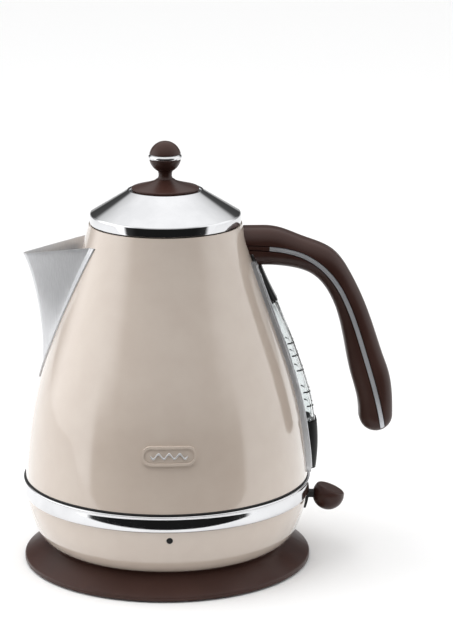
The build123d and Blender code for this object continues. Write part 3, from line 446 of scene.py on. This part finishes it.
def copy_of(node, name):
    """Copy of a CAD piece whose loose triangles are merged, left as the only selected object."""
    piece = bpy.data.objects.new(name, nodes[node].data.copy())
    bpy.context.scene.collection.objects.link(piece)
    bpy.ops.object.select_all(action="DESELECT")
    piece.select_set(True)
    bpy.context.view_layer.objects.active = piece
    bpy.ops.mesh.customdata_custom_splitnormals_clear()
    bpy.ops.object.mode_set(mode="EDIT")
    bpy.ops.mesh.select_all(action="SELECT")
    bpy.ops.mesh.remove_doubles(threshold=0.002 * MM)
    bpy.ops.mesh.dissolve_limited(angle_limit=math.radians(0.3))
    bpy.ops.object.mode_set(mode="OBJECT")
    return piece


def softened(node, name, body, slot, bevel):
    """Copy of a CAD piece with its sharp edges rounded."""
    return complete(copy_of(node, name), name, body, slot, (node,), bevel)


def cut(place, outwards, fill=False):
    """Takes away what lies beyond a plane through place in mm, all of it selected first."""
    bpy.ops.mesh.select_all(action="SELECT")
    place = tuple(value * MM for value in place)
    bpy.ops.mesh.bisect(plane_co=place, plane_no=outwards, clear_outer=True, use_fill=fill)


def pick_faces(test):
    """Selects the faces for which test(centre in mm) holds."""
    bpy.ops.mesh.select_all(action="DESELECT")
    bpy.ops.mesh.select_mode(type="FACE")
    bpy.ops.object.mode_set(mode="OBJECT")
    for face in bpy.context.object.data.polygons:
        face.select = test(face.center / MM)
    bpy.ops.object.mode_set(mode="EDIT")


def millimetres(node):
    """Lowest and highest corner of a CAD node, in mm."""
    low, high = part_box(node)
    return low / MM, high / MM


# ---- lid and knob ------------------------------------------------------------------------------

def lid_pieces():
    """The polished cone with its upright band, the brown cap disc and the two-part knob."""
    low, high = millimetres("lid_cone")
    band_r, rim_z, top_z = high.x, low.z, high.z
    shoulder_z = rim_z + 6.2
    cone_r, hole_r = 22.8, 9.2
    outline = [(band_r - 1.0, rim_z + 0.4), (band_r - 0.5, rim_z), (band_r - 0.1, rim_z + 0.3)]
    outline += [(band_r, rim_z + 1.0), (band_r, shoulder_z - 1.6)]
    outline += arc(band_r - 2.2, shoulder_z - 1.4, 2.2, 8, 52, 6)
    outline += [(cone_r + 0.8, top_z - 0.5)] + arc(cone_r, top_z - 0.9, 0.9, 58, 170, 5)
    outline += [(cone_r - 0.8, top_z - 2.0), (hole_r, top_z - 2.0), (hole_r, top_z - 2.9)]
    outline += [(cone_r - 0.4, top_z - 3.0), (band_r - 2.6, shoulder_z - 0.9)]
    outline += [(band_r - 1.1, shoulder_z - 2.4)]
    complete(turned(outline, 192), "lid_cone_polished", "lid", "chrome", ["lid_cone"], smooth=28)

    low, high = millimetres("lid_cap_disc")
    disc_r, seat_z, peak_z, bore = high.x, low.z, high.z, 3.1
    outline = [(bore, seat_z + 0.05), (disc_r - 0.9, seat_z + 0.05), (disc_r - 0.1, seat_z + 2.0)]
    outline += arc(disc_r - 0.8, seat_z + 2.6, 0.8, -10, 78, 5)
    outline += [(14.0, seat_z + 5.0), (9.0, seat_z + 6.5), (6.6, seat_z + 7.5)]
    outline += [(5.6, peak_z), (bore, peak_z)]
    complete(turned(outline, 128), "lid_cap_disc_moulded", "lid", "brown_plastic", ["lid_cap_disc"], 0.15)

    low, high = millimetres("knob_ring")
    ball_z, band = (low.z + high.z) / 2, (high.z - low.z) / 2
    ball_r, stem_r, bore = 9.8, 4.1, 1.6
    foot_z = millimetres("knob_lower_half")[0].z
    outline = [(bore, ball_z - band), (bore, foot_z + 0.1), (stem_r + 1.0, foot_z + 0.05)]
    outline += [(stem_r + 0.35, foot_z + 0.8), (stem_r, foot_z + 1.9), (stem_r + 0.05, foot_z + 3.6)]
    outline += arc(0, ball_z, ball_r, -62, -11.5, 12) + [(ball_r - 0.6, ball_z - band)]
    stem = turned(outline, 96)
    complete(stem, "knob_lower_half_moulded", "lid", "brown_plastic", ["knob_lower_half"], 0.12)

    outline = [(bore, ball_z - band + 0.02), (ball_r - 0.5, ball_z - band + 0.02)]
    outline += arc(ball_r - 1.1, ball_z, 1.62, -66, 66, 10) + [(ball_r - 0.5, ball_z + band - 0.02)]
    outline += [(bore, ball_z + band - 0.02)]
    complete(turned(outline, 96), "knob_ring_polished", "lid", "chrome", ["knob_ring"], smooth=40)

    outline = [(ball_r - 0.7, ball_z + band)] + arc(0, ball_z, ball_r, 11.5, 89, 22)
    ball = turned(outline, 96, open_top=True)
    complete(ball, "knob_upper_half_moulded", "lid", "brown_plastic", ["knob_upper_half"], 0.12)


# ---- ring, shade ring, collar ---------------------------------------------------------------------

def foot_rings():
    """The bright ring, a black ring above it that fills the groove there and is painted shade of that
    groove, and the grey collar around the tower.
    """
    low, high = millimetres("chrome_ring")
    outer, bottom, top = high.x, low.z, high.z
    outline = [(RING_BORE, top - 0.1), (RING_BORE, bottom + 0.1), (outer - 2.4, bottom + 0.1)]
    outline += [(outer - 1.3, bottom + 0.3), (outer - 0.6, bottom + 0.9), (outer - 0.25, bottom + 1.7)]
    outline += [(outer - 0.15, bottom + 2.6), (outer - 0.33, bottom + 5.2), (outer - 0.55, bottom + 7.8)]
    outline += [(outer - 0.75, bottom + 8.7), (outer - 0.6, bottom + 9.2)]
    outline += arc(outer - 0.62, top - 0.75, 0.6, -40, 80, 6) + [(outer - 1.3, top - 0.12)]
    complete(turned(outline, 256), "chrome_ring_polished", "jug", "chrome", ["chrome_ring"], smooth=50)

    # Painted shade: this black rubber ring stands for the dark groove between the vessel and the bright
    # ring.
    low, high = millimetres("gasket_ring")
    bore = RING_BORE + 0.1
    outline = [(bore, low.z + 0.05), (high.x - 0.5, low.z + 0.05)]
    outline += arc(high.x - 0.45, (low.z + high.z) / 2, 0.5, -70, 70, 5) + [(high.x - 0.5, high.z - 0.05)]
    outline += [(bore, high.z - 0.05)]
    complete(turned(outline, 224), "groove_shade_ring", "jug", "rubber", ["gasket_ring"], smooth=50)

    low, high = millimetres("swivel_collar")
    bore, sleeve_r, sleeve_z = 14.25, 17.5, 36.0
    outline = [(bore, low.z + 0.1), (high.x - 0.3, low.z + 0.1), (high.x - 0.1, low.z + 1.0)]
    outline += [(sleeve_r, low.z + 1.3), (sleeve_r, sleeve_z - 0.6), (sleeve_r - 0.3, sleeve_z)]
    outline += [(sleeve_r - 2.0, high.z - 0.8), (sleeve_r - 2.5, high.z - 0.15)]
    outline += [(bore + 0.25, high.z - 0.1), (bore, high.z - 0.5)]
    collar = turned(outline, 96)
    complete(collar, "swivel_collar_moulded", "swivel_collar", "grey_plastic", ["swivel_collar"], 0.15)


# ---- spout, grip strips, gauge, badge ---------------------------------------------------------

def edge_softened():
    """CAD pieces that keep their shape and only need their sharp edges rounded off."""
    softened("spout", "spout_sheet", "jug", "brushed_steel", 0.2)
    softened("lever_escutcheon", "lever_escutcheon_pressed", "jug", "black_plastic", 0.3)
    softened("window_upper_cap", "window_upper_cap_moulded", "jug", "black_plastic", 0.3)


def grip_strips():
    """Silver strips along the grip; a brown filler closes each groove next to the vessel."""
    for side in ("left", "right"):
        node = "handle_strip_" + side
        for name, way, finish_slot in (("silver", -1, "chrome"), ("filler", 1, "brown_plastic")):
            piece = copy_of(node, node + "_" + name)
            bpy.ops.object.mode_set(mode="EDIT")
            cut((STRIP_START, 0, 0), (way, 0, 0), fill=True)
            bpy.ops.object.mode_set(mode="OBJECT")
            complete(piece, node + "_" + name, "jug", finish_slot, [node] if name == "silver" else [], 0.15)
            if name == "silver":
                piece.data.materials[0] = STRIP_FINISH


def gauge_frame():
    """Steel surround of the gauge, with a raised bead along both of its long sides."""
    low, high = millimetres("window_frame")
    piece = copy_of("window_frame", "window_frame_pressed")
    bpy.ops.object.mode_set(mode="EDIT")
    cut((0, 0, FRAME_TOP), (0, 0, 1), fill=True)
    bpy.ops.object.mode_set(mode="OBJECT")
    complete(piece, "window_frame_pressed", "jug", "brushed_steel", ["window_frame"], smooth=24)
    aside = high.y - BEAD_ASIDE
    line = [(math.sqrt((r + FRAME_PROUD) ** 2 - aside ** 2), z) for r, z in through(BELL_LINE, 6)]
    line = [(x, z) for x, z in line if low.z + 3.0 < z < FRAME_TOP - 3.0]
    for side, name in ((-1, "window_frame_bead_left"), (1, "window_frame_bead_right")):
        piece = carried(line, BEAD_R, 12)
        bpy.ops.mesh.select_all(action="SELECT")
        bpy.ops.transform.translate(value=(0, side * aside * MM, 0))
        close_ends()
        bpy.ops.object.mode_set(mode="OBJECT")
        complete(piece, name, "jug", "brushed_steel", smooth=60)


def gauge_marks():
    """Printed level marks: thin bands that hug both sides of the lens."""
    high = millimetres("window_lens")[1]
    marks = []
    for height in MARK_HEIGHTS:
        mark = copy_of("window_lens", "level_mark")
        bpy.ops.object.mode_set(mode="EDIT")
        for way in (-1, 1):
            cut((0, 0, height + way * MARK_HALF), (0, 0, way))
        front, side = lens_line(height), high.y
        pick_faces(lambda c: c.x < front - MARK_REACH or abs(c.y) < MARK_GAP_HALF
                   or (abs(c.y) < side - LENS_SIDE_WALL and c.x < front - LENS_FRONT_WALL))
        bpy.ops.mesh.delete(type="FACE")
        bpy.ops.object.mode_set(mode="OBJECT")
        shell = mark.modifiers.new("ink", "SOLIDIFY")
        shell.thickness, shell.offset = MARK_THICK * MM, 1.0
        bpy.ops.object.modifier_apply(modifier=shell.name)
        marks.append(mark)
    for mark in marks:
        mark.select_set(True)
    bpy.ops.object.join()
    complete(bpy.context.object, "window_level_marks", "jug", "black_plastic")


def lens_line(height):
    """How far out the front of the lens is at a height."""
    for (x, z), (next_x, next_z) in zip(LENS_FRONT, LENS_FRONT[1:]):
        if z <= height <= next_z:
            return x + (next_x - x) * (height - z) / (next_z - z)
    return LENS_FRONT[-1][0]


def badge_mark():
    """A raised wave on the badge, in place of any lettering."""
    low, high = millimetres("badge_plate")
    length, sway, waves, steps = 22.0, 1.5, 3.5, 70
    piece = begin(0.75, 0.0, 12)
    for i in range(steps):
        here, there = (math.sin(2 * math.pi * waves * j / steps) for j in (i, i + 1))
        rise(sway * (there - here), length / steps)
    close_ends()
    bpy.ops.transform.translate(value=(0, 0, -length / 2 * MM))
    turn_about(math.radians(90), (0, 0, 0))
    bpy.ops.transform.translate(value=(0, BADGE_FIELD_Y * MM, (low.z + high.z) / 2 * MM))
    bpy.ops.object.mode_set(mode="OBJECT")
    complete(piece, "badge_wave_mark", "jug", "brushed_steel", smooth=60)


lid_pieces()
foot_rings()
edge_softened()
grip_strips()
gauge_frame()
gauge_marks()
badge_mark()


# ---- stage ----------------------------------------------------------------------------------

def stage():
    """Pale floor from just in front of the base to far behind it."""
    bpy.ops.object.select_all(action="DESELECT")
    bpy.ops.mesh.primitive_plane_add(size=1.0, location=(0, 0, 0))
    floor = bpy.context.object
    floor.name = "studio_floor"
    width, depth, front = 6.0, 4.0, -0.21
    floor.scale = (width, depth, 1.0)
    floor.location = (0, front + depth / 2, -0.05 * MM)
    bpy.ops.object.transform_apply(location=True, rotation=False, scale=True)
    paper = Finish("studio_paper", Roughness=0.9)
    fleck = paper.grain(3 * MM)
    paper.set(Base_Color=paper.mix(fleck, (0.90, 0.90, 0.90, 1), (0.92, 0.92, 0.92, 1)))
    floor.data.materials.append(paper.material)


def studio_air():
    """Even light from the sides and above, with soft dark screens before and behind the kettle.

    Polished pieces mirror the screens, which is what draws their shape; the air itself is white.
    """
    world = bpy.data.worlds.new("studio_air")
    bpy.context.scene.world = world
    world.use_nodes = True
    air = Nodes(world.node_tree)
    way = air.add("TexCoord").out("Generated")
    split = air.add("SeparateXYZ", sockets={"Vector": way})
    x, y, z = split.out("X"), split.out("Y"), split.out("Z")
    flat = x * x + y * y + 0.0001
    level = flat.math("SQRT", flat)
    forward = y / level

    def soft(value, none, full):
        """0 where value is at none and 1 where it is at full."""
        return air.ramp(value, none, full, 0, 1, "SMOOTHSTEP")

    before = soft(forward, -0.36, -0.48) * soft(z, 0.34, 0.02)
    behind = soft(forward, 0.70, 0.86) * soft(z, 0.04, 0.12) * soft(z, 0.50, 0.36)
    overhead = soft(z, 0.15, 0.95)
    low_light = soft(z, 0.75, 0.35)
    left = soft(x / level, -0.70, -0.93) * low_light
    right = soft(x / level, 0.70, 0.93) * low_light
    glow = 0.42 + overhead * 0.80 + left * 1.3 + right * 0.75
    glow = glow * (1 - before * 0.97) * (1 - behind * 0.85)
    seen = air.add("LightPath").out("Is Camera Ray")
    strength = glow * (1 - seen) + seen
    background = world.node_tree.nodes["Background"]
    background.inputs["Color"].default_value = (1.0, 1.0, 1.0, 1.0)
    world.node_tree.links.new(strength.socket, background.inputs["Strength"])


def softbox(name, place, target, width, height, power):
    """Area light aimed at target; polished pieces don't mirror its outline."""
    light = bpy.data.lights.new(name, "AREA")
    light.shape = "RECTANGLE"
    light.size, light.size_y = width, height
    light.energy = power
    holder = bpy.data.objects.new(name, light)
    bpy.context.scene.collection.objects.link(holder)
    holder.location = place
    holder.rotation_euler = (Vector(target) - Vector(place)).to_track_quat("-Z", "Y").to_euler()
    holder.visible_glossy = False


def studio_camera():
    """Looks along +Y from a little above the knob's height, square on to the kettle's side."""
    data = bpy.data.cameras.new("studio_camera")
    data.lens, data.sensor_width = 143.1, 36.0
    holder = bpy.data.objects.new("studio_camera", data)
    bpy.context.scene.collection.objects.link(holder)
    place = Vector((-0.023, -1.506, 0.535))
    holder.location = place
    aim = Vector((0.0375, 0.0, 0.1555))
    holder.rotation_euler = (aim - place).to_track_quat("-Z", "Y").to_euler()
    bpy.context.scene.camera = holder
    bpy.context.scene.view_settings.view_transform = "Standard"


stage()
studio_air()
studio_camera()
softbox("top_softbox", (-0.5, -0.1, 1.8), (0, 0, 0), 1.4, 1.0, 12)
